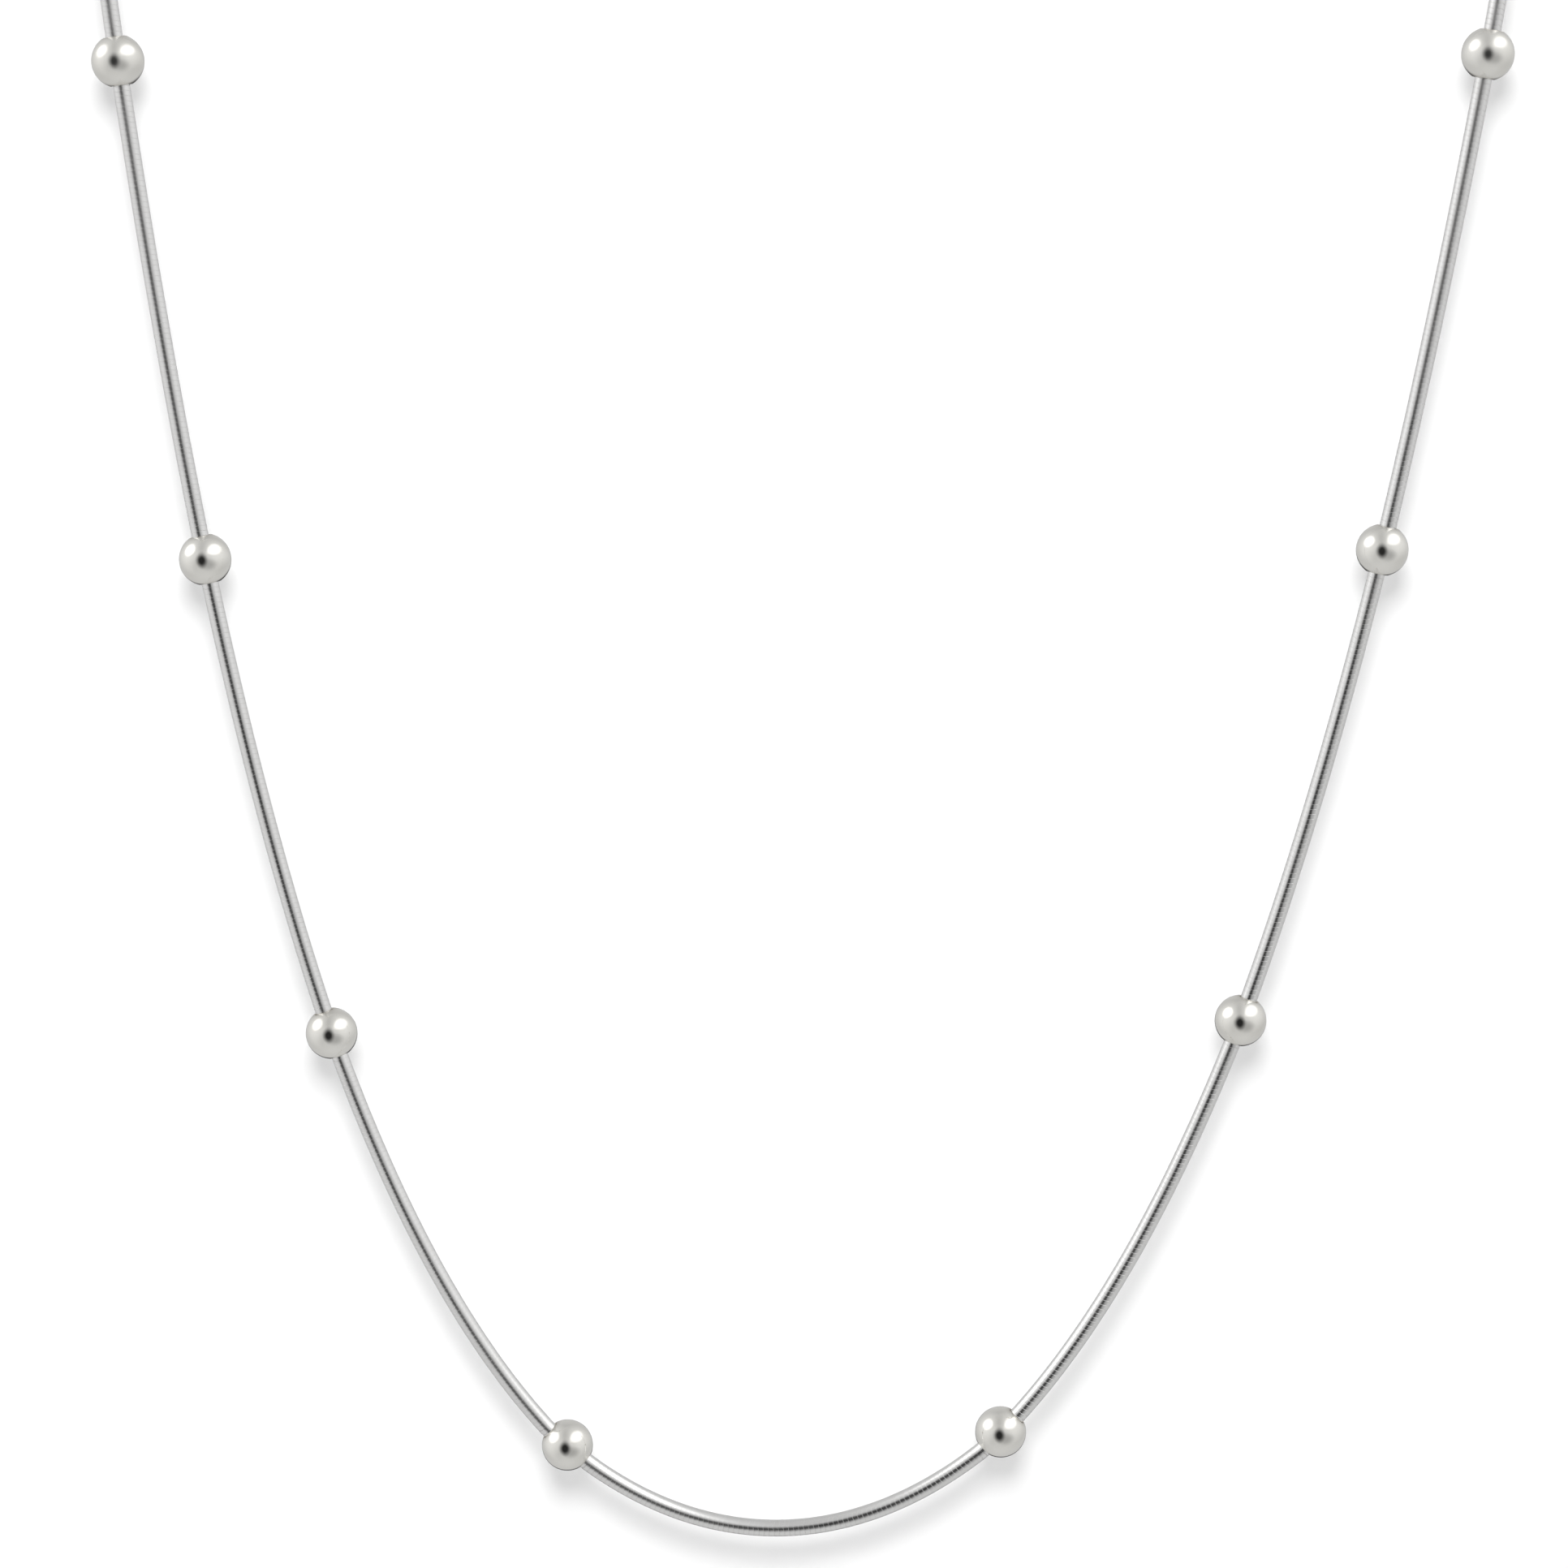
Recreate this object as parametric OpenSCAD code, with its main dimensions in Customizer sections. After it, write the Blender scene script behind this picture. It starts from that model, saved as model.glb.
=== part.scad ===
// Station necklace: plain round balls at even steps along a fine round chain, closed at the nape by a barrel
// clasp. It keeps the form in which it hangs when worn. The front faces -Y, +Z is up, and the origin is where
// the clasp rests against the nape.

/* [Chain] */
// Diameter of the chain
chain_d = 1.3; // [0.8:0.1:1.8]
// Distance between the middles of neighbouring balls, along the chain
pitch = 38.1; // [32:0.1:44]

/* [Balls] */
// Number of balls on the whole loop
ball_count = 12; // [10:2:14]
// Diameter of a ball
ball_d = 4; // [3.4:0.1:6]
// Clearance round the chain in the holes of the balls and the clasp
hole_clearance = 0.1; // [0.1:0.02:0.2]

/* [Clasp] */
// Length of the clasp
clasp_len = 10; // [8:0.5:14]
// Diameter of the clasp
clasp_d = 3.2; // [2.8:0.1:5]
// Radius of the rounding at the clasp's ends
clasp_round = 0.5; // [0.2:0.1:0.6]
// Width of the groove round the clasp's middle, where its two halves meet
seam_w = 0.3; // [0.2:0.1:0.6]
// Depth of the groove
seam_depth = 0.15; // [0.1:0.05:0.3]
// Length of chain that each socket of the clasp holds
grip = 3; // [2:0.25:3.5]

/* [Hang] */
// Pull in the chain at its lowest point, given as the length of chain that weighs as much
pull = 21.5; // [18:0.5:28]
// Weight of a ball, given as the length of chain that weighs as much
ball_weight = 3.5; // [0:0.5:8]
// How far the necklace has slipped round the neck, to the right at the front
slip = 1.3; // [0:0.1:3]

/* [Drape] */
// Angle at which the front leans back from the vertical
front_lean = 20; // [10:1:30]
// Angle at which the back rises towards the nape
nape_rise = 25; // [10:1:35]
// Height of the flat front, measured up its slope from the lowest point of the chain
front_len = 118; // [100:1:122]
// Radius of the bend from the front over to the back
bend_r = 35; // [25:1:42]

/* [Hidden] */
function ball_name(i) = str("ball_", i < 9 ? "0" : "", i + 1);

// The chain turns by no more than this between two rings of its tube, in degrees
ring_turn = 7;
tube_sides = 8;
// Straight run of the chain beyond each end of a drilled hole
lead = 0.1;
// Step along the chain over which its direction is measured
sight = 0.01;
// Halvings that find where the hanging part of the loop ends
halvings = 30;

loop_len = ball_count * pitch;
hole_d = chain_d + 2 * hole_clearance;
ball_reach = ball_d / 2 + lead;
clasp_reach = clasp_len / 2 + lead;
front_slope = 90 - front_lean;
bend_len = bend_r * (front_slope - nape_rise) * PI / 180;

function total(list, i = 0) = i == len(list) ? [0, 0] : list[i] + total(list, i + 1);
function unit(a) = a / norm(a);
function asinh(x) = ln(x + sqrt(x * x + 1));

// Hanging part: s is the length of chain from the lowest point. The pull stays the same all along it, and the
// load is the weight of the chain and the balls between the lowest point and s.
function balls_below(s) = floor(s / pitch + 0.5);
function load(s) = s + balls_below(s) * ball_weight;
function reach(q) = [pull * asinh(q / pull), sqrt(pull * pull + q * q)];
function ball_jump(j) =
    let(q = (j - 0.5) * pitch + j * ball_weight)
    reach(q) - reach(q - ball_weight);
function hang(s) = reach(load(s)) - reach(0) - total([for (j = [1:1:balls_below(s)]) ball_jump(j)]);
function hang_angle(s) = atan2(load(s), pull);

// Closing part: a round arc from the hanging chain's end, tangent to it, over to the middle of the nape
function arc_r(s) = hang(s)[0] / sin(hang_angle(s));
function half_len(s) = s + arc_r(s) * (180 - hang_angle(s)) * PI / 180;
function hang_end(low, high, n) =
    let(mid = (low + high) / 2)
    n == 0 ? mid : half_len(mid) > loop_len / 2 ? hang_end(low, mid, n - 1) : hang_end(mid, high, n - 1);
hang_len = hang_end(pull / 10, loop_len / 2, halvings);
ring_r = arc_r(hang_len);
ring_mid = hang(hang_len)[1] + ring_r * cos(hang_angle(hang_len));

// The loop laid flat: across and up, at a length s of chain from the lowest point, minus on the left
function wrap(s) = s > loop_len / 2 ? s - loop_len : s < -loop_len / 2 ? s + loop_len : s;
function flat_half(s) =
    let(turn = hang_angle(hang_len) + (s - hang_len) / ring_r * 180 / PI)
    s <= hang_len ? hang(s) : [ring_r * sin(turn), ring_mid - ring_r * cos(turn)];
function flat(s) =
    let(w = wrap(s), p = flat_half(abs(w)))
    [w < 0 ? -p[0] : p[0], p[1]];

// The flat loop bent over the body: up the front, round the bend and back to the nape
function slope(up) = front_slope - max(0, min(bend_len, up - front_len)) / bend_r * 180 / PI;
function fold(up) =
    let(a = slope(up), rest = max(0, up - front_len - bend_len))
    min(up, front_len) * [cos(front_slope), sin(front_slope)]
    + bend_r * [sin(front_slope) - sin(a), cos(a) - cos(front_slope)]
    + rest * [cos(nape_rise), sin(nape_rise)];
function bent(s) =
    let(p = flat(s), q = fold(p[1]))
    [p[0], q[0], q[1]];
function facing(s) =
    let(a = slope(flat(s)[1]))
    [0, -sin(a), cos(a)];

// The nape is the origin, and the clasp's inner side rests on it
clasp_s = slip - loop_len / 2;
clasp_raw = (bent(clasp_s - clasp_reach) + bent(clasp_s + clasp_reach)) / 2;
to_nape = [0, cos(nape_rise), sin(nape_rise)] * clasp_d / 2 - [0, clasp_raw[1], clasp_raw[2]];
function place(s) = bent(s) + to_nape;
function heading(s) = unit(place(s + sight) - place(s - sight));
function turn(s0, s1) = acos(min(1, heading(s0) * heading(s1)));

// A drilled piece sits straight on the chain, across the points where the chain enters and leaves it
function ball_s(i) = (i + 0.5 - ball_count / 2) * pitch + slip;
function seat_mid(s, half) = (place(s - half) + place(s + half)) / 2;
function seat_axis(s, half) = unit(place(s + half) - place(s - half));

// Rings of the chain's tube, each a place and the way the body faces it: the free stretches between pieces are
// cut by how far they turn, and the straight ones run from one side of a piece to the other
function ring_at(s) = [place(s), facing(s)];
function free_rings(s0, s1) =
    let(n = max(2, ceil(turn(s0, s1) / ring_turn)))
    [for (k = [0:n]) ring_at(s0 + (s1 - s0) * k / n)];
function socket_end(side) =
    seat_mid(clasp_s, clasp_reach) + side * (clasp_len / 2 - grip) * seat_axis(clasp_s, clasp_reach);
route = concat(
    [[socket_end(1), facing(clasp_s)]],
    free_rings(clasp_s + clasp_reach, ball_s(0) - ball_reach),
    [for (i = [1:ball_count - 1]) each free_rings(ball_s(i - 1) + ball_reach, ball_s(i) - ball_reach)],
    free_rings(ball_s(ball_count - 1) + ball_reach, clasp_s + loop_len - clasp_reach),
    [[socket_end(-1), facing(clasp_s)]]
);

function route_way(i) =
    let(last = len(route) - 1)
    i == 0 ? unit(route[1][0] - route[0][0]) :
    i == last ? unit(route[last][0] - route[last - 1][0]) :
    unit(unit(route[i + 1][0] - route[i][0]) + unit(route[i][0] - route[i - 1][0]));
function ring_points(i) =
    let(way = route_way(i), side = unit(cross(way, route[i][1])), out = cross(side, way))
    [for (k = [0:tube_sides - 1])
        let(a = 360 * k / tube_sides)
        route[i][0] + chain_d / 2 * (cos(a) * side + sin(a) * out)];

module along(way) {
    rotate([0, acos(way[2]), atan2(way[1], way[0])])
        children();
}

module chain() {
    last = len(route) - 1;
    points = [for (i = [0:last]) each ring_points(i)];
    walls = [for (i = [0:last - 1], k = [0:tube_sides - 1], upper = [0, 1])
        let(a = i * tube_sides + k, b = i * tube_sides + (k + 1) % tube_sides)
        upper == 0 ? [a, b, b + tube_sides] : [a, b + tube_sides, a + tube_sides]];
    first_cap = [for (k = [tube_sides - 1:-1:0]) k];
    last_cap = [for (k = [0:tube_sides - 1]) last * tube_sides + k];
    color("darkgray")
        polyhedron(points, concat([first_cap, last_cap], walls), convexity = 10);
}

module ball(i) {
    color("silver")
        translate(seat_mid(ball_s(i), ball_reach))
        along(seat_axis(ball_s(i), ball_reach))
        difference() {
            sphere(d = ball_d, $fn = 96);
            cylinder(d = hole_d, h = 2 * ball_reach, center = true, $fn = 48);
        }
}

module clasp_outline() {
    difference() {
        union() {
            translate([0, -clasp_len / 2])
                square([clasp_d / 2 - clasp_round, clasp_len]);
            translate([0, clasp_round - clasp_len / 2])
                square([clasp_d / 2, clasp_len - 2 * clasp_round]);
            for (side = [-1, 1])
                translate([clasp_d / 2 - clasp_round, side * (clasp_len / 2 - clasp_round)])
                    circle(r = clasp_round, $fn = 48);
        }
        translate([clasp_d / 2 - seam_depth, -seam_w / 2])
            square([2 * seam_depth, seam_w]);
    }
}

module clasp() {
    socket_depth = grip + hole_clearance;
    color("gainsboro")
        translate(seat_mid(clasp_s, clasp_reach))
        along(seat_axis(clasp_s, clasp_reach))
        difference() {
            rotate_extrude($fn = 96)
                clasp_outline();
            for (side = [-1, 1])
                translate([0, 0, side * (clasp_len / 2 - socket_depth / 2 + lead / 2)])
                    cylinder(d = hole_d, h = socket_depth + lead, center = true, $fn = 48);
        }
}

chain();
clasp();
for (i = [0:ball_count - 1])
    ball(i);
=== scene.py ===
# Station necklace: silver balls on a fine snake chain, with the finish, the light and the camera.
# Lengths are in metres. The route of the chain follows the same rules as the solids.

import bmesh
import bpy
from math import asinh, atan2, ceil, cos, floor, hypot, pi, radians, sin, sqrt
from mathutils import Matrix, Vector


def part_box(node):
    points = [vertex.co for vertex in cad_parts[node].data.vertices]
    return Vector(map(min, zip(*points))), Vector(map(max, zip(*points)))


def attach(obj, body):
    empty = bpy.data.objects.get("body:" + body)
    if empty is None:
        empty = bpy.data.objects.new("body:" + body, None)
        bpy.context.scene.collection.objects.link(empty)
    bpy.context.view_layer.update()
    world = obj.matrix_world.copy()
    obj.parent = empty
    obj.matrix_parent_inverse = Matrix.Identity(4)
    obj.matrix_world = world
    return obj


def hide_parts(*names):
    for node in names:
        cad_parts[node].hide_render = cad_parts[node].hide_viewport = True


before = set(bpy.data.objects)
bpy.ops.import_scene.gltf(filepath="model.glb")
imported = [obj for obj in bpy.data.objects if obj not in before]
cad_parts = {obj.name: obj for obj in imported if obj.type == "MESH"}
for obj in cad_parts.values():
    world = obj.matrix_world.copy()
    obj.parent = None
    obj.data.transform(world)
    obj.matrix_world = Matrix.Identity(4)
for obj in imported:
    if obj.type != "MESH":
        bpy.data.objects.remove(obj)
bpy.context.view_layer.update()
scene = bpy.context.scene
print("frame loaded,", len(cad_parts), "nodes")


# Route of the chain

hang = {
    "pitch": 0.0381,            # from ball to ball along the chain
    "ballCount": 12,
    "pull": 0.0215,             # pull at the lowest point, as a length of chain
    "ballWeight": 0.0035,       # weight of one ball, as a length of chain
    "slip": 0.0013,             # the loop has slipped this far round the neck
}
drape = {
    "frontSlope": radians(70),  # how steeply the flat front rises
    "napeSlope": radians(25),   # how steeply the back rises to the nape
    "frontLen": 0.118,          # flat front, up its slope from the lowest point
    "bendRadius": 0.035,        # over the shoulders
}
fit = {
    "chainD": 0.0013,
    "ballD": 0.004,
    "claspLen": 0.010,
    "claspD": 0.0032,
    "holeGap": 0.0001,          # round the chain in every hole
    "lead": 0.0001,             # straight run beyond each end of a hole
    "grip": 0.003,              # chain held in each end of the clasp
}
loopLen = hang["ballCount"] * hang["pitch"]
ballReach = fit["ballD"] / 2 + fit["lead"]
claspReach = fit["claspLen"] / 2 + fit["lead"]
holeRadius = fit["chainD"] / 2 + fit["holeGap"]
bendLen = drape["bendRadius"] * (drape["frontSlope"] - drape["napeSlope"])


def reach(q):
    return Vector((hang["pull"] * asinh(q / hang["pull"]), hypot(hang["pull"], q)))


def ballsBelow(s):
    return floor(s / hang["pitch"] + 0.5)


def chainLoad(s):
    return s + ballsBelow(s) * hang["ballWeight"]


def hangPoint(s):
    # across and up, at a length s of chain from the lowest point
    spot = reach(chainLoad(s)) - reach(0)
    for j in range(1, ballsBelow(s) + 1):
        q = (j - 0.5) * hang["pitch"] + j * hang["ballWeight"]
        spot -= reach(q) - reach(q - hang["ballWeight"])
    return spot


def hangAngle(s):
    return atan2(chainLoad(s), hang["pull"])


def arcRadius(s):
    return hangPoint(s)[0] / sin(hangAngle(s))


def hangEnd():
    # the hanging part ends where a round arc over to the nape uses up the loop
    low, high = hang["pull"] / 10, loopLen / 2
    for _ in range(30):
        mid = (low + high) / 2
        if mid + arcRadius(mid) * (pi - hangAngle(mid)) > loopLen / 2:
            high = mid
        else:
            low = mid
    return (low + high) / 2


hangLen = hangEnd()
ringRadius = arcRadius(hangLen)
ringMid = hangPoint(hangLen)[1] + ringRadius * cos(hangAngle(hangLen))


def flatPoint(s):
    s = (s + loopLen / 2) % loopLen - loopLen / 2
    if abs(s) <= hangLen:
        across, up = hangPoint(abs(s))
    else:
        turn = hangAngle(hangLen) + (abs(s) - hangLen) / ringRadius
        across, up = ringRadius * sin(turn), ringMid - ringRadius * cos(turn)
    return (-across if s < 0 else across), up


def bentPoint(s):
    # the flat loop bent over the body
    across, up = flatPoint(s)
    bendR, front, nape = drape["bendRadius"], drape["frontSlope"], drape["napeSlope"]
    slope = front - max(0, min(bendLen, up - drape["frontLen"])) / bendR
    flat = min(up, drape["frontLen"])
    rest = max(0, up - drape["frontLen"] - bendLen)
    back = flat * cos(front) + bendR * (sin(front) - sin(slope)) + rest * cos(nape)
    high = flat * sin(front) + bendR * (cos(slope) - cos(front)) + rest * sin(nape)
    return Vector((across, back, high))


claspS = hang["slip"] - loopLen / 2
claspRaw = (bentPoint(claspS - claspReach) + bentPoint(claspS + claspReach)) / 2
toNape = Vector((0, cos(drape["napeSlope"]), sin(drape["napeSlope"]))) * fit["claspD"] / 2
toNape -= Vector((0, claspRaw[1], claspRaw[2]))


def place(s):
    return bentPoint(s) + toNape


def ballS(i):
    return (i + 0.5 - hang["ballCount"] / 2) * hang["pitch"] + hang["slip"]


def seat(s, half):
    # a drilled piece sits straight across the points where the chain enters and leaves it
    low, high = place(s - half), place(s + half)
    return (low + high) / 2, (high - low).normalized()


def chainRoute(step):
    # free stretches are followed closely, and straight lines cross the drilled pieces
    mid, along = seat(claspS, claspReach)
    hold = fit["claspLen"] / 2 - fit["grip"]
    stops = [claspS + claspReach]
    for i in range(hang["ballCount"]):
        stops += [ballS(i) - ballReach, ballS(i) + ballReach]
    stops.append(claspS + loopLen - claspReach)
    points = [mid + hold * along]
    for start, end in zip(stops[0::2], stops[1::2]):
        count = ceil((end - start) / step)
        points += [place(start + (end - start) * k / count) for k in range(count + 1)]
    points.append(mid - hold * along)
    return points


# Camera

view = {
    "distance": 0.3441,
    "lens": 102.5,
    "aboveFront": 0.15,         # radians above the normal of the flat front
    "roll": 0.0202,
    "aimUp": 0.0595,            # aim, up the front from the lowest point
    "aimAcross": -0.0001,
}
frontUp = Vector((0, cos(drape["frontSlope"]), sin(drape["frontSlope"])))
frontOut = Vector((0, -sin(drape["frontSlope"]), cos(drape["frontSlope"])))
across = Vector((1, 0, 0))
frontFoot = place(0)


def addCamera():
    back = cos(view["aboveFront"]) * frontOut + sin(view["aboveFront"]) * frontUp
    up = cos(view["aboveFront"]) * frontUp - sin(view["aboveFront"]) * frontOut
    right = cos(view["roll"]) * across + sin(view["roll"]) * up
    up = cos(view["roll"]) * up - sin(view["roll"]) * across
    aim = frontFoot + view["aimUp"] * frontUp + view["aimAcross"] * across
    data = bpy.data.cameras.new("camera")
    data.lens = view["lens"]
    data.clip_start = 0.01
    camera = bpy.data.objects.new("camera", data)
    scene.collection.objects.link(camera)
    turn = Matrix((right, up, back)).transposed().to_4x4()
    camera.matrix_world = Matrix.Translation(aim + view["distance"] * back) @ turn
    scene.camera = camera
    return right, up, back


tentRight, tentUp, tentBack = addCamera()
print("camera set")


# Small helpers for node trees

def addNode(tree, kind, at, **settings):
    node = tree.nodes.new(kind)
    node.location = (at[0] * 200, at[1] * 160)
    for name, value in settings.items():
        setattr(node, name, value)
    return node


def feed(tree, socket, value):
    # a socket takes a link or a plain value
    if isinstance(value, bpy.types.NodeSocket):
        tree.links.new(value, socket)
    else:
        socket.default_value = value


def mathNode(tree, at, operation, *values):
    node = addNode(tree, "ShaderNodeMath", at, operation=operation)
    for socket, value in zip(node.inputs, values):
        feed(tree, socket, value)
    return node.outputs[0]


def vectorNode(tree, at, operation, *values):
    node = addNode(tree, "ShaderNodeVectorMath", at, operation=operation)
    for socket, value in zip(node.inputs, values):
        feed(tree, socket, value)
    return node


def rangeNode(tree, at, value, low, high, toLow, toHigh):
    node = addNode(tree, "ShaderNodeMapRange", at)
    names = ("Value", "From Min", "From Max", "To Min", "To Max")
    for name, given in zip(names, (value, low, high, toLow, toHigh)):
        feed(tree, node.inputs[name], given)
    return node.outputs["Result"]


# Light: a pale tent with a bright panel on either side and a dark opening in front

tent = {
    "top": 0.42,
    "middle": 0.47,
    "bottom": 0.60,
    "behind": 0.55,
    "behindFrom": 0.1,          # where the front gives way to the tone behind, from 1 in front to -1 behind
    "behindTo": -0.8,
    "seen": 1.0,                # what the camera sees behind everything
}
tentPatches = {
    # degrees right and up from the camera, half width, half height, softness, brightness, roll
    "glowLeft": (-78, 20, 46, 44, 0.9, 0.81, 0),
    "glowRight": (66, 30, 54, 46, 0.8, 0.79, 0),
    "gloom": (20, -26, 30, 20, 0.8, 0.38, 0),
    "panelLeft": (-77, 31, 23, 19, 0.45, 1.5, 6),
    "panelRight": (58, 40, 30, 18, 0.55, 1.5, 12),
    "opening": (-8.5, -8, 21, 27.5, 0.60, 0.02, 0),
    "openingBehind": (180, -18, 19, 20, 0.5, 0.06, 0),
}


def tentDirection(azimuth, elevation):
    azimuth, elevation = radians(azimuth), radians(elevation)
    level = sin(azimuth) * tentRight + cos(azimuth) * tentBack
    return cos(elevation) * level + sin(elevation) * tentUp


def makePatchGroup():
    group = bpy.data.node_groups.new("tentPatch", "ShaderNodeTree")
    for name in ("Direction", "Centre", "Side", "Upright"):
        group.interface.new_socket(name, in_out="INPUT", socket_type="NodeSocketVector")
    for name in ("Half Width", "Half Height", "Softness", "Brightness", "Behind"):
        group.interface.new_socket(name, in_out="INPUT", socket_type="NodeSocketFloat")
    group.interface.new_socket("Brightness", in_out="OUTPUT", socket_type="NodeSocketFloat")
    given = addNode(group, "NodeGroupInput", (0, 0)).outputs
    ahead = vectorNode(group, (1, 2), "DOT_PRODUCT", given["Direction"], given["Centre"]).outputs["Value"]
    aside = vectorNode(group, (1, 1), "DOT_PRODUCT", given["Direction"], given["Side"]).outputs["Value"]
    above = vectorNode(group, (1, 0), "DOT_PRODUCT", given["Direction"], given["Upright"]).outputs["Value"]
    wide = mathNode(group, (2, 1), "ARCTAN2", aside, ahead)
    wide = mathNode(group, (3, 1), "DIVIDE", wide, given["Half Width"])
    tall = mathNode(group, (2, 0), "ARCTAN2", above, ahead)
    tall = mathNode(group, (3, 0), "DIVIDE", tall, given["Half Height"])
    wide = mathNode(group, (4, 1), "MULTIPLY", wide, wide)
    away = mathNode(group, (5, 1), "SQRT", mathNode(group, (4, 0), "MULTIPLY_ADD", tall, tall, wide))
    edge = addNode(group, "ShaderNodeMapRange", (6, 0), interpolation_type="SMOOTHSTEP")
    feed(group, edge.inputs["Value"], away)
    feed(group, edge.inputs["From Min"], mathNode(group, (5, 2), "SUBTRACT", 1.0, given["Softness"]))
    feed(group, edge.inputs["From Max"], mathNode(group, (5, 3), "ADD", 1.0, given["Softness"]))
    edge.inputs["To Min"].default_value = 1.0
    edge.inputs["To Max"].default_value = 0.0
    facing = mathNode(group, (6, 2), "GREATER_THAN", ahead, 0.0)
    share = mathNode(group, (7, 0), "MULTIPLY", edge.outputs["Result"], facing)
    step = mathNode(group, (7, 1), "SUBTRACT", given["Brightness"], given["Behind"])
    blend = mathNode(group, (8, 0), "MULTIPLY_ADD", share, step, given["Behind"])
    result = addNode(group, "NodeGroupOutput", (9, 0))
    feed(group, result.inputs["Brightness"], blend)
    return group


def addTent():
    world = bpy.data.worlds.new("tent")
    world.use_nodes = True
    scene.world = world
    tree = world.node_tree
    tree.nodes.clear()
    direction = addNode(tree, "ShaderNodeTexCoord", (0, 0)).outputs["Generated"]
    height = vectorNode(tree, (1, 0), "DOT_PRODUCT", direction, tentUp).outputs["Value"]
    depth = vectorNode(tree, (1, 2), "DOT_PRODUCT", direction, tentBack).outputs["Value"]
    upper = rangeNode(tree, (2, 1), height, 0, 1, tent["middle"], tent["top"])
    lower = rangeNode(tree, (2, 2), height, -1, 0, tent["bottom"] - tent["middle"], 0)
    front = mathNode(tree, (3, 1), "ADD", upper, lower)
    behind = rangeNode(tree, (3, 2), depth, tent["behindTo"], tent["behindFrom"], tent["behind"], 0)
    share = rangeNode(tree, (3, 3), depth, tent["behindTo"], tent["behindFrom"], 0, 1)
    light = mathNode(tree, (4, 2), "MULTIPLY_ADD", front, share, behind)
    patchGroup = makePatchGroup()
    for k, (name, patch) in enumerate(tentPatches.items()):
        azimuth, elevation, halfWidth, halfHeight, softness, brightness, roll = patch
        centre = tentDirection(azimuth, elevation)
        side = tentUp.cross(centre).normalized()
        upright = centre.cross(side)
        tilt = Matrix.Rotation(radians(roll), 3, centre)
        side, upright = tilt @ side, tilt @ upright
        node = addNode(tree, "ShaderNodeGroup", (3 + k, 0), node_tree=patchGroup, label=name)
        feed(tree, node.inputs["Direction"], direction)
        feed(tree, node.inputs["Centre"], centre)
        feed(tree, node.inputs["Side"], side)
        feed(tree, node.inputs["Upright"], upright)
        feed(tree, node.inputs["Half Width"], radians(halfWidth))
        feed(tree, node.inputs["Half Height"], radians(halfHeight))
        feed(tree, node.inputs["Softness"], softness)
        feed(tree, node.inputs["Brightness"], brightness)
        feed(tree, node.inputs["Behind"], light)
        light = node.outputs["Brightness"]
    inside, seen = (addNode(tree, "ShaderNodeBackground", (9, k)) for k in (0, 1))
    for background, strength in ((inside, light), (seen, tent["seen"])):
        background.inputs["Color"].default_value = (1, 1, 1, 1)
        feed(tree, background.inputs["Strength"], strength)
    switch = addNode(tree, "ShaderNodeMixShader", (10, 0))
    feed(tree, switch.inputs[0], addNode(tree, "ShaderNodeLightPath", (9, 3)).outputs["Is Camera Ray"])
    feed(tree, switch.inputs[1], inside.outputs[0])
    feed(tree, switch.inputs[2], seen.outputs[0])
    feed(tree, addNode(tree, "ShaderNodeOutputWorld", (11, 0)).inputs["Surface"], switch.outputs[0])


addTent()
scene.view_settings.view_transform = "Standard"

lamp = {
    "out": 0.380,               # in front of the flat front
    "up": 0.345,                # up the front from its lowest point
    "across": -0.019,
    "diameter": 0.220,
    "power": 2.14,
}


def addLamp():
    data = bpy.data.lights.new("softLamp", "AREA")
    data.shape = "DISK"
    data.size = lamp["diameter"]
    data.energy = lamp["power"]
    light = bpy.data.objects.new("softLamp", data)
    scene.collection.objects.link(light)
    light.location = frontFoot + lamp["out"] * frontOut + lamp["up"] * frontUp + lamp["across"] * across
    aim = frontFoot + view["aimUp"] * frontUp
    light.rotation_euler = (light.location - aim).to_track_quat("Z", "Y").to_euler()
    light.visible_glossy = False    # the tent alone shows in the silver


addLamp()
print("tent and lamp set")


# Stage: a white board close behind the flat front, and the floor that it stands on

stageSizes = {
    "boardGap": 0.0037,         # from the middle of the chain back to the board
    "boardHalf": 0.068,
    "boardTop": 0.122,
    "floorZ": -0.158,
    "floorHalf": 3.0,
    # from one distance from the nape to another: how white each is, and how far it is lit from within.
    # Both are painted light that evens out the lamp's falloff: the board is less white and glows more near
    # the nape, and the floor glows more further out.
    "boardFade": (0.06, 0.17),
    "boardWhite": (0.54, 0.66),
    "boardGlow": (0.243, 0.180),
    "floorFade": (0.17, 0.42),
    "floorWhite": (0.66, 0.60),
    "floorGlow": (0.22, 0.74),
}


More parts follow.
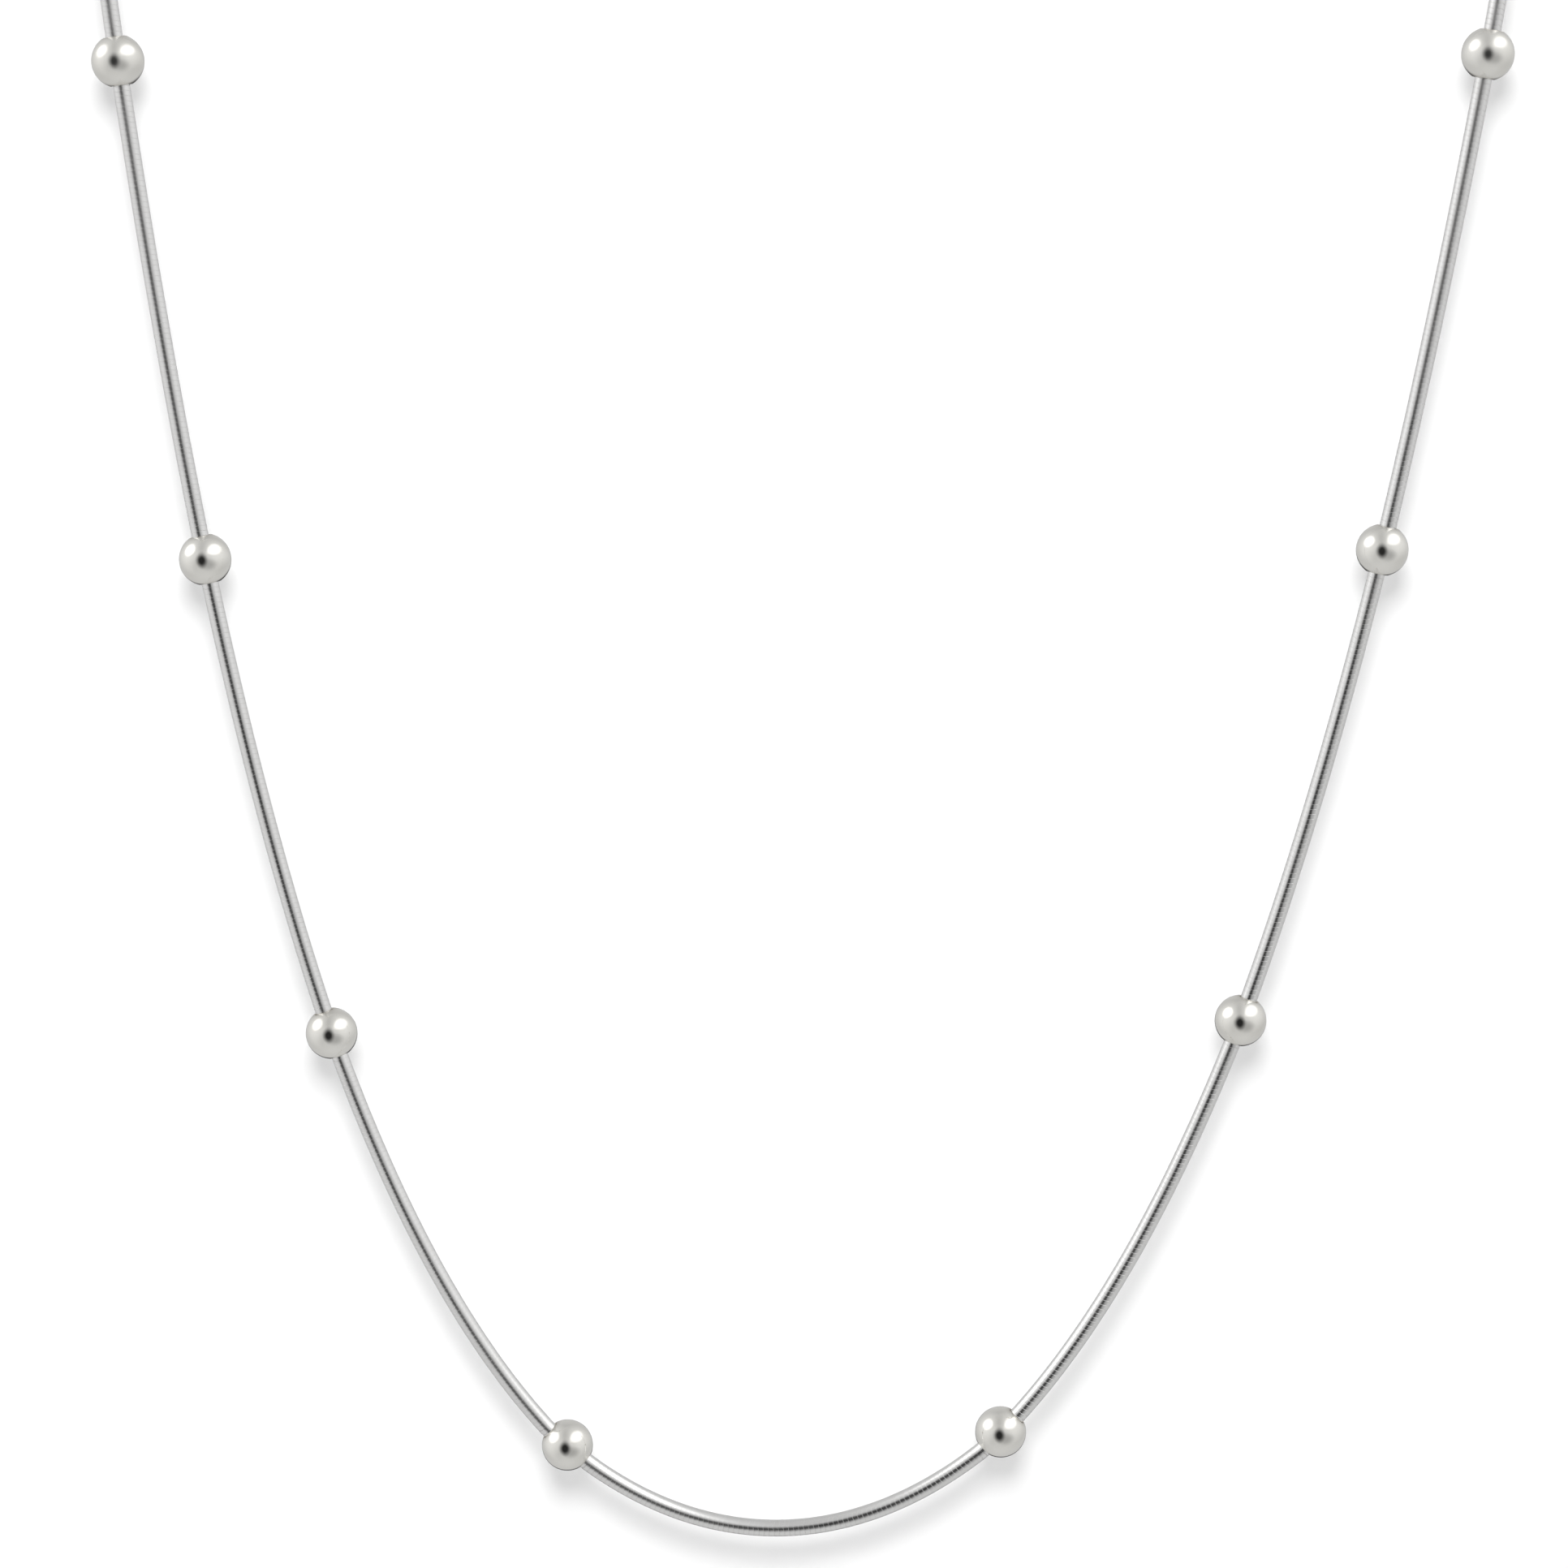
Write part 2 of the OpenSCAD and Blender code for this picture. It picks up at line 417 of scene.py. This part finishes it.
def makeStageMaterial(name, part, oneSided):
    material = bpy.data.materials.new(name)
    material.use_nodes = True
    tree = material.node_tree
    tree.nodes.clear()
    where = addNode(tree, "ShaderNodeTexCoord", (-3, 1)).outputs["Object"]
    away = vectorNode(tree, (-2, 1), "LENGTH", where).outputs["Value"]
    fade = stageSizes[part + "Fade"]
    # painted light: whiteness and glow graded with distance to even out the lamp's falloff
    white = rangeNode(tree, (-1, 0), away, *fade, *stageSizes[part + "White"])
    strength = rangeNode(tree, (-1, 1), away, *fade, *stageSizes[part + "Glow"])
    matt = addNode(tree, "ShaderNodeBsdfDiffuse", (0, 0))
    feed(tree, matt.inputs["Color"], white)
    glow = addNode(tree, "ShaderNodeEmission", (0, 1))
    feed(tree, glow.inputs["Strength"], strength)
    both = addNode(tree, "ShaderNodeAddShader", (1, 0))
    feed(tree, both.inputs[0], matt.outputs[0])
    feed(tree, both.inputs[1], glow.outputs[0])
    surface = both.outputs[0]
    if oneSided:
        clear = addNode(tree, "ShaderNodeBsdfTransparent", (1, 2))
        mix = addNode(tree, "ShaderNodeMixShader", (2, 0))
        feed(tree, mix.inputs[0], addNode(tree, "ShaderNodeNewGeometry", (1, 3)).outputs["Backfacing"])
        feed(tree, mix.inputs[1], surface)
        feed(tree, mix.inputs[2], clear.outputs[0])
        surface = mix.outputs[0]
    feed(tree, addNode(tree, "ShaderNodeOutputMaterial", (3, 0)).inputs["Surface"], surface)
    return material


def addSheet(name, corners, material):
    mesh = bpy.data.meshes.new(name)
    mesh.from_pydata([tuple(c) for c in corners], [], [(0, 1, 2, 3)])
    mesh.materials.append(material)
    sheet = bpy.data.objects.new(name, mesh)
    scene.collection.objects.link(sheet)
    return sheet


def addStage():
    foot = frontFoot - stageSizes["boardGap"] * frontOut
    low = (stageSizes["floorZ"] - foot[2]) / frontUp[2]
    half, top = stageSizes["boardHalf"], stageSizes["boardTop"]
    spots = ((-half, low), (half, low), (half, top), (-half, top))
    corners = [foot + a * across + b * frontUp for a, b in spots]
    board = addSheet("board", corners, makeStageMaterial("boardWhite", "board", True))
    board.visible_glossy = False
    wide, z = stageSizes["floorHalf"], stageSizes["floorZ"]
    corners = [(-wide, -wide, z), (wide, -wide, z), (wide, wide, z), (-wide, wide, z)]
    ground = addSheet("ground", corners, makeStageMaterial("floorWhite", "floor", False))
    ground.visible_glossy = False


addStage()
print("stage set")


# Silver: the turned pieces are a warm silver, and the chain a more neutral one

warmSilver = {
    "bright": (0.972, 0.960, 0.915),
    "worn": (0.930, 0.912, 0.860),
    "tarnish": (0.480, 0.440, 0.370),
}
paleSilver = {
    "bright": (0.965, 0.962, 0.955),
    "worn": (0.920, 0.915, 0.905),
    "tarnish": (0.450, 0.440, 0.420),
}


def opaque(colour):
    return colour + (1,)


def mixColour(tree, at, share, first, second):
    node = addNode(tree, "ShaderNodeMix", at, data_type="RGBA")
    feed(tree, node.inputs[0], share)
    feed(tree, node.inputs[6], first)
    feed(tree, node.inputs[7], second)
    return node.outputs[2]


def noiseAt(tree, at, where, scale, detail):
    node = addNode(tree, "ShaderNodeTexNoise", at)
    feed(tree, node.inputs["Vector"], where)
    node.inputs["Scale"].default_value = scale
    node.inputs["Detail"].default_value = detail
    return node.outputs["Fac"]


wear = {
    "clouds": 420,              # to the metre, for the colour and the gloss
    "specks": 2600,             # to the metre, in the tarnish
    "thinTarnish": 0.4,         # least share of tarnish in its thin places
    "tarnishDull": 0.25,        # roughness that full tarnish adds
    "toneShare": 0.5,           # share of a link's own tone in its colour
    "rubFrom": -0.085,          # the polish is duller from here up, where collars rub it
    "rubTo": -0.035,
}


def makeSilver(name, silver, look, tarnishFrom, toneFrom=None):
    # clouds of wear set the colour and the gloss, fine scratches the bump, and a painted value the tarnish
    material = bpy.data.materials.new(name)
    material.use_nodes = True
    tree = material.node_tree
    tree.nodes.clear()
    where = addNode(tree, "ShaderNodeTexCoord", (0, 0)).outputs["Object"]
    cloud = noiseAt(tree, (1, 1), where, wear["clouds"], 3)
    worn = rangeNode(tree, (2, 1), cloud, 0.35, 0.75, 0, 1)
    if toneFrom:
        tone = addNode(tree, "ShaderNodeAttribute", (1, 2), attribute_name=toneFrom).outputs["Fac"]
        worn = mathNode(tree, (3, 2), "MULTIPLY", worn, 1 - wear["toneShare"])
        worn = mathNode(tree, (4, 2), "MULTIPLY_ADD", tone, wear["toneShare"], worn)
    colour = mixColour(tree, (3, 1), worn, opaque(silver["bright"]), opaque(silver["worn"]))
    painted = addNode(tree, "ShaderNodeAttribute", (1, 3), attribute_name=tarnishFrom).outputs["Fac"]
    speck = noiseAt(tree, (1, 4), where, wear["specks"], 2)
    speck = rangeNode(tree, (2, 4), speck, 0.3, 0.7, wear["thinTarnish"], look["tarnish"])
    dirt = mathNode(tree, (2, 3), "MULTIPLY", painted, speck)
    colour = mixColour(tree, (4, 1), dirt, colour, opaque(silver["tarnish"]))
    stretch = addNode(tree, "ShaderNodeMapping", (1, -1))
    feed(tree, stretch.inputs["Vector"], where)
    stretch.inputs["Scale"].default_value = look["scratches"]
    scratch = noiseAt(tree, (2, -1), stretch.outputs["Vector"], 1.0, 4)
    dull = rangeNode(tree, (2, 0), cloud, 0.3, 0.7, *look["roughness"])
    dull = mathNode(tree, (3, 0), "MULTIPLY_ADD", dirt, wear["tarnishDull"], dull)
    height = addNode(tree, "ShaderNodeSeparateXYZ", (1, 0))
    feed(tree, height.inputs[0], where)
    rub = rangeNode(tree, (2, -2), height.outputs["Z"], wear["rubFrom"], wear["rubTo"], 0, look["rub"])
    dull = mathNode(tree, (4, 0), "ADD", dull, rub)
    bump = addNode(tree, "ShaderNodeBump", (3, -1))
    bump.inputs["Strength"].default_value = 1.0
    bump.inputs["Distance"].default_value = look["scratchDepth"]
    feed(tree, bump.inputs["Height"], scratch)
    shader = addNode(tree, "ShaderNodeBsdfPrincipled", (5, 0))
    shader.inputs["Metallic"].default_value = 1.0
    feed(tree, shader.inputs["Base Color"], colour)
    feed(tree, shader.inputs["Roughness"], dull)
    feed(tree, shader.inputs["Normal"], bump.outputs["Normal"])
    feed(tree, addNode(tree, "ShaderNodeOutputMaterial", (7, 0)).inputs["Surface"], shader.outputs[0])
    return material


# Chain: a snake chain of short waved links, nested one against the next

chainLook = {
    "linkStep": 0.0004,         # one link every four tenths of a millimetre
    "edge": 0.000012,           # bevel on the lower edge of a link
    "gap": 0.000018,            # from the wall of a link to the next link
    "nest": 0.00006,            # how far a link's neck reaches into the next one
    "neckShare": 0.90,          # of the chain's radius
    "waves": 4,                 # round a link's edge
    "waveHeight": 0.00007,
    "sides": 16,
    "seed": 7,                  # for the tone of each link
    "roughness": (0.19, 0.25),
    "rub": 0.13,                # added to the roughness where the chain is rubbed most
    "scratches": (9000, 9000, 9000),
    "scratchDepth": 0.0000002,
    "tarnish": 0.5,             # in the grooves between the links
}
chainSilver = makeSilver("snakeChainSilver", paleSilver, chainLook, "linkEdge", "linkTone")


def makeLinkTree():
    tree = bpy.data.node_groups.new("snakeLinks", "GeometryNodeTree")
    tree.interface.new_socket("Geometry", in_out="INPUT", socket_type="NodeSocketGeometry")
    for name in ("Chain Radius", "Link Step", "Edge", "Gap", "Nest", "Neck Share", "Waves", "Wave Height"):
        tree.interface.new_socket(name, in_out="INPUT", socket_type="NodeSocketFloat")
    for name in ("Sides", "Seed"):
        tree.interface.new_socket(name, in_out="INPUT", socket_type="NodeSocketInt")
    tree.interface.new_socket("Material", in_out="INPUT", socket_type="NodeSocketMaterial")
    tree.interface.new_socket("Geometry", in_out="OUTPUT", socket_type="NodeSocketGeometry")
    given = addNode(tree, "NodeGroupInput", (0, 0)).outputs
    radius = given["Chain Radius"]

    # outline of one link, from its lower edge up to the end of the neck that the next link hides
    half = mathNode(tree, (1, 4), "MULTIPLY", given["Link Step"], 0.5)
    bottom = mathNode(tree, (2, 4), "MULTIPLY", half, -1.0)
    bevel = mathNode(tree, (3, 4), "ADD", bottom, given["Edge"])
    wallEnd = mathNode(tree, (3, 5), "SUBTRACT", half, given["Gap"])
    neckEnd = mathNode(tree, (3, 6), "ADD", half, given["Nest"])
    heights = (bottom, bevel, wallEnd, neckEnd)
    edgeRadius = mathNode(tree, (3, 7), "SUBTRACT", radius, given["Edge"])
    neckRadius = mathNode(tree, (3, 8), "MULTIPLY", radius, given["Neck Share"])
    radii = (edgeRadius, radius, radius, neckRadius)
    ring = addNode(tree, "GeometryNodeInputIndex", (3, 9)).outputs[0]

    def perRing(at, values):
        node = addNode(tree, "GeometryNodeIndexSwitch", at, data_type="FLOAT")
        while len(node.index_switch_items) < len(values):
            node.index_switch_items.new()
        feed(tree, node.inputs[0], ring)
        for socket, value in zip(list(node.inputs)[1:], values):
            feed(tree, socket, value)
        return node.outputs[0]

    line = addNode(tree, "GeometryNodeCurvePrimitiveLine", (4, 3))
    rings = addNode(tree, "GeometryNodeResampleCurve", (5, 3))
    feed(tree, rings.inputs["Curve"], line.outputs[0])
    rings.inputs["Count"].default_value = len(heights)
    spot = addNode(tree, "ShaderNodeCombineXYZ", (5, 5))
    feed(tree, spot.inputs["Z"], perRing((4, 5), heights))
    spaced = addNode(tree, "GeometryNodeSetPosition", (6, 3))
    feed(tree, spaced.inputs["Geometry"], rings.outputs[0])
    feed(tree, spaced.inputs["Position"], spot.outputs[0])
    painted = addNode(tree, "GeometryNodeStoreNamedAttribute", (7, 3), data_type="FLOAT", domain="POINT")
    feed(tree, painted.inputs["Geometry"], spaced.outputs[0])
    painted.inputs["Name"].default_value = "linkEdge"
    feed(tree, painted.inputs["Value"], perRing((6, 5), (1.0, 0.0, 0.0, 1.0)))
    circle = addNode(tree, "GeometryNodeCurvePrimitiveCircle", (7, 2))
    feed(tree, circle.inputs["Resolution"], given["Sides"])
    circle.inputs["Radius"].default_value = 1.0
    barrel = addNode(tree, "GeometryNodeCurveToMesh", (8, 3))
    feed(tree, barrel.inputs["Curve"], painted.outputs[0])
    feed(tree, barrel.inputs["Profile Curve"], circle.outputs[0])
    feed(tree, barrel.inputs["Scale"], perRing((7, 5), radii))
    barrel.inputs["Fill Caps"].default_value = True

    # smooth round the link, crisp along its rings
    ends = addNode(tree, "GeometryNodeInputMeshEdgeVertices", (8, 6))
    climb = addNode(tree, "ShaderNodeSeparateXYZ", (9, 6))
    feed(tree, climb.inputs[0], vectorNode(tree, (9, 7), "SUBTRACT", ends.outputs["Position 2"],
                                          ends.outputs["Position 1"]).outputs["Vector"])
    lengthwise = addNode(tree, "FunctionNodeCompare", (10, 6), data_type="FLOAT", operation="GREATER_THAN")
    feed(tree, lengthwise.inputs[0], mathNode(tree, (10, 7), "ABSOLUTE", climb.outputs["Z"]))
    lengthwise.inputs[1].default_value = 0.000001
    rounded = addNode(tree, "GeometryNodeSetShadeSmooth", (9, 3), domain="FACE")
    feed(tree, rounded.inputs["Geometry"], barrel.outputs[0])
    rounded.inputs["Shade Smooth"].default_value = True
    crisp = addNode(tree, "GeometryNodeSetShadeSmooth", (10, 3), domain="EDGE")
    feed(tree, crisp.inputs["Geometry"], rounded.outputs[0])
    feed(tree, crisp.inputs["Shade Smooth"], lengthwise.outputs[0])

    # the whole link waves up and down as it goes round, so that it nests in the next
    place = addNode(tree, "ShaderNodeSeparateXYZ", (9, 1))
    feed(tree, place.inputs[0], addNode(tree, "GeometryNodeInputPosition", (8, 1)).outputs[0])
    angle = mathNode(tree, (10, 1), "ARCTAN2", place.outputs["Y"], place.outputs["X"])
    wave = mathNode(tree, (11, 1), "COSINE", mathNode(tree, (10, 0), "MULTIPLY", angle, given["Waves"]))
    shift = addNode(tree, "ShaderNodeCombineXYZ", (12, 1))
    feed(tree, shift.inputs["Z"], mathNode(tree, (11, 0), "MULTIPLY", wave, given["Wave Height"]))
    link = addNode(tree, "GeometryNodeSetPosition", (12, 3))
    feed(tree, link.inputs["Geometry"], crisp.outputs[0])
    feed(tree, link.inputs["Offset"], shift.outputs[0])

    # the links stand at even steps along the route
    steps = addNode(tree, "GeometryNodeResampleCurve", (1, -2), mode="LENGTH")
    feed(tree, steps.inputs["Curve"], given["Geometry"])
    feed(tree, steps.inputs["Length"], given["Link Step"])
    turn = addNode(tree, "FunctionNodeAxesToRotation", (2, -4), primary_axis="Z", secondary_axis="X")
    tangent = addNode(tree, "GeometryNodeInputTangent", (1, -4)).outputs[0]
    normal = addNode(tree, "GeometryNodeInputNormal", (1, -5)).outputs["Normal"]
    feed(tree, turn.inputs["Primary Axis"], tangent)
    feed(tree, turn.inputs["Secondary Axis"], normal)
    row = addNode(tree, "GeometryNodeInstanceOnPoints", (13, -2))
    feed(tree, row.inputs["Points"], steps.outputs[0])
    feed(tree, row.inputs["Instance"], link.outputs[0])
    feed(tree, row.inputs["Rotation"], turn.outputs[0])
    chance = addNode(tree, "FunctionNodeRandomValue", (13, -4), data_type="FLOAT")
    feed(tree, chance.inputs["Seed"], given["Seed"])
    toned = addNode(tree, "GeometryNodeStoreNamedAttribute", (14, -2), data_type="FLOAT", domain="INSTANCE")
    feed(tree, toned.inputs["Geometry"], row.outputs[0])
    toned.inputs["Name"].default_value = "linkTone"
    feed(tree, toned.inputs["Value"], chance.outputs[1])
    realized = addNode(tree, "GeometryNodeRealizeInstances", (15, -2))
    feed(tree, realized.inputs["Geometry"], toned.outputs[0])
    finished = addNode(tree, "GeometryNodeSetMaterial", (16, -2))
    feed(tree, finished.inputs["Geometry"], realized.outputs[0])
    feed(tree, finished.inputs["Material"], given["Material"])
    feed(tree, addNode(tree, "NodeGroupOutput", (17, -2)).inputs["Geometry"], finished.outputs[0])
    return tree


def growMesh(name, source, tree, inputs):
    # runs a node tree on an object and keeps the result as a plain mesh
    modifier = source.modifiers.new("grow", "NODES")
    modifier.node_group = tree
    for socket in tree.interface.items_tree:
        if socket.in_out == "INPUT" and socket.name in inputs:
            modifier[socket.identifier] = inputs[socket.name]
    bpy.context.view_layer.update()
    evaluated = source.evaluated_get(bpy.context.evaluated_depsgraph_get())
    mesh = bpy.data.meshes.new_from_object(evaluated)
    mesh.name = name
    bpy.data.objects.remove(source)
    piece = bpy.data.objects.new(name, mesh)
    scene.collection.objects.link(piece)
    return piece


def addChain():
    line = bpy.data.curves.new("route", "CURVE")
    line.dimensions = "3D"
    points = chainRoute(chainLook["linkStep"])
    spline = line.splines.new("POLY")
    spline.points.add(len(points) - 1)
    for knot, spot in zip(spline.points, points):
        knot.co = (*spot, 1)
    route = bpy.data.objects.new("route", line)
    scene.collection.objects.link(route)
    chain = growMesh("chainLinks", route, makeLinkTree(), {
        "Chain Radius": fit["chainD"] / 2,
        "Link Step": chainLook["linkStep"],
        "Edge": chainLook["edge"],
        "Gap": chainLook["gap"],
        "Nest": chainLook["nest"],
        "Neck Share": chainLook["neckShare"],
        "Waves": float(chainLook["waves"]),
        "Wave Height": chainLook["waveHeight"],
        "Sides": chainLook["sides"],
        "Seed": chainLook["seed"],
        "Material": chainSilver,
    })
    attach(chain, "root")
    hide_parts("chain")
    chain.data.calc_loop_triangles()
    print("chain made,", len(chain.data.loop_triangles), "triangles")


addChain()


# Turned pieces: an outline of radius and height, spun round its own axis

def spinPiece(name, outline, steps, middle, axis, material, closed, painted=None):
    turn = axis.to_track_quat("Z", "X").to_matrix()
    bm = bmesh.new()
    angles = [2 * pi * k / steps for k in range(steps)]
    rings = []
    for radius, height in outline:
        if radius < 1e-9:
            rings.append([bm.verts.new(middle + turn @ Vector((0, 0, height)))] * steps)
        else:
            spots = [Vector((radius * cos(a), radius * sin(a), height)) for a in angles]
            rings.append([bm.verts.new(middle + turn @ spot) for spot in spots])
    pairs = list(zip(rings, rings[1:] + rings[:1])) if closed else list(zip(rings, rings[1:]))
    for lower, upper in pairs:
        for k in range(steps):
            corners = []
            for vert in (lower[k], lower[(k + 1) % steps], upper[(k + 1) % steps], upper[k]):
                if vert not in corners:
                    corners.append(vert)
            bm.faces.new(corners)
    bmesh.ops.recalc_face_normals(bm, faces=bm.faces)
    mesh = bpy.data.meshes.new(name)
    bm.to_mesh(mesh)
    bm.free()
    for face in mesh.polygons:
        face.use_smooth = True
    if painted:
        layer = mesh.attributes.new(painted[0], "FLOAT", "POINT")
        back = turn.transposed()
        for vert, value in zip(mesh.vertices, layer.data):
            local = back @ (vert.co - middle)
            value.value = painted[1](hypot(local[0], local[1]), local[2])
    mesh.materials.append(material)
    piece = bpy.data.objects.new(name, mesh)
    scene.collection.objects.link(piece)
    return piece


def arcPoints(centre, radius, start, end, count):
    return [(centre[0] + radius * cos(start + (end - start) * k / count),
             centre[1] + radius * sin(start + (end - start) * k / count)) for k in range(count + 1)]


# Balls: polished, drilled through, with a softened lip round each hole

ballLook = {
    "lip": 0.00008,             # rounding round the holes
    "lipRows": 5,
    "steps": 80,                # round the axis
    "rows": 40,                 # from hole to hole
    "roughness": (0.04, 0.09),
    "rub": 0.14,
    "scratches": (2500, 2500, 500),
    "scratchDepth": 0.0000002,
    "tarnish": 0.55,
    "stain": 0.00045,           # how far tarnish spreads from a hole
}
ballSilver = makeSilver("polishedBallSilver", warmSilver, ballLook, "nearHole")


def ballOutline():
    radius, lip = fit["ballD"] / 2, ballLook["lip"]
    lipR = holeRadius + lip
    lipZ = sqrt((radius - lip) ** 2 - lipR ** 2)
    tilt = atan2(lipZ, lipR)
    outline = arcPoints((lipR, lipZ), lip, pi, tilt, ballLook["lipRows"])
    outline += arcPoints((0, 0), radius, tilt, -tilt, ballLook["rows"])[1:-1]
    outline += arcPoints((lipR, -lipZ), lip, -tilt, -pi, ballLook["lipRows"])
    return outline


def stainNearHole(radius, height):
    # full at the lip and gone a little further out
    out = max(0, radius - holeRadius - ballLook["lip"])
    return max(0, 1 - out / ballLook["stain"]) ** 2


def addBalls():
    outline = ballOutline()
    drift = 0
    for i in range(hang["ballCount"]):
        middle, axis = seat(ballS(i), ballReach)
        node = "ball_%02d" % (i + 1)
        name = "polishedBall%02d" % (i + 1)
        ball = spinPiece(name, outline, ballLook["steps"], middle, axis, ballSilver, True,
                         ("nearHole", stainNearHole))
        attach(ball, "root")
        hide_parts(node)
        low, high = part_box(node)
        drift = max(drift, ((low + high) / 2 - middle).length)
    print("balls made, at most %.6f m from their solids" % drift)


addBalls()


# Clasp: a plain barrel in two halves, hidden at the nape

claspLook = {
    "endRound": 0.0005,
    "seamWidth": 0.0003,
    "seamDepth": 0.00015,
    "edge": 0.00004,            # rounding of the small edges
    "lip": 0.00008,
    "steps": 72,
    "roughness": (0.08, 0.14),
    "rub": 0.03,
    "scratches": (16000, 700, 700),
    "scratchDepth": 0.0000005,
    "tarnish": 0.6,
}
claspSilver = makeSilver("claspSilver", warmSilver, claspLook, "nearHole")


def claspHalfOutline():
    # from the middle of the barrel out to the bottom of the socket
    radius, half = fit["claspD"] / 2, fit["claspLen"] / 2
    roundR, edge, lip = claspLook["endRound"], claspLook["edge"], claspLook["lip"]
    seamHalf, seamR = claspLook["seamWidth"] / 2, radius - claspLook["seamDepth"]
    outline = [(seamR, 0), (seamR, seamHalf)]
    outline += arcPoints((radius - edge, seamHalf + edge), edge, -pi / 2, 0, 3)
    outline += [(radius, half * share) for share in (0.25, 0.5, 0.75)]
    outline += arcPoints((radius - roundR, half - roundR), roundR, 0, pi / 2, 10)
    outline += arcPoints((holeRadius + lip, half - lip), lip, pi / 2, pi, 4)
    socketEnd = half - fit["grip"] - fit["holeGap"]
    outline += [(holeRadius, socketEnd), (0, socketEnd)]
    return outline


def addClasp():
    upper = claspHalfOutline()
    lower = [(radius, -height) for radius, height in reversed(upper)]
    middle, axis = seat(claspS, claspReach)
    half = fit["claspLen"] / 2
    seam = claspLook["seamWidth"]

    def stain(radius, height):
        atSeam = max(0, 1 - abs(height) / seam)
        atEnd = max(0, 1 - abs(half - abs(height)) / seam) * max(0, 1 - (radius - holeRadius) / seam)
        return min(1, atSeam + atEnd)

    clasp = spinPiece("claspBarrel", lower + upper[1:], claspLook["steps"], middle, axis, claspSilver, False,
                      ("nearHole", stain))
    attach(clasp, "root")
    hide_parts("clasp")
    print("clasp made")


addClasp()
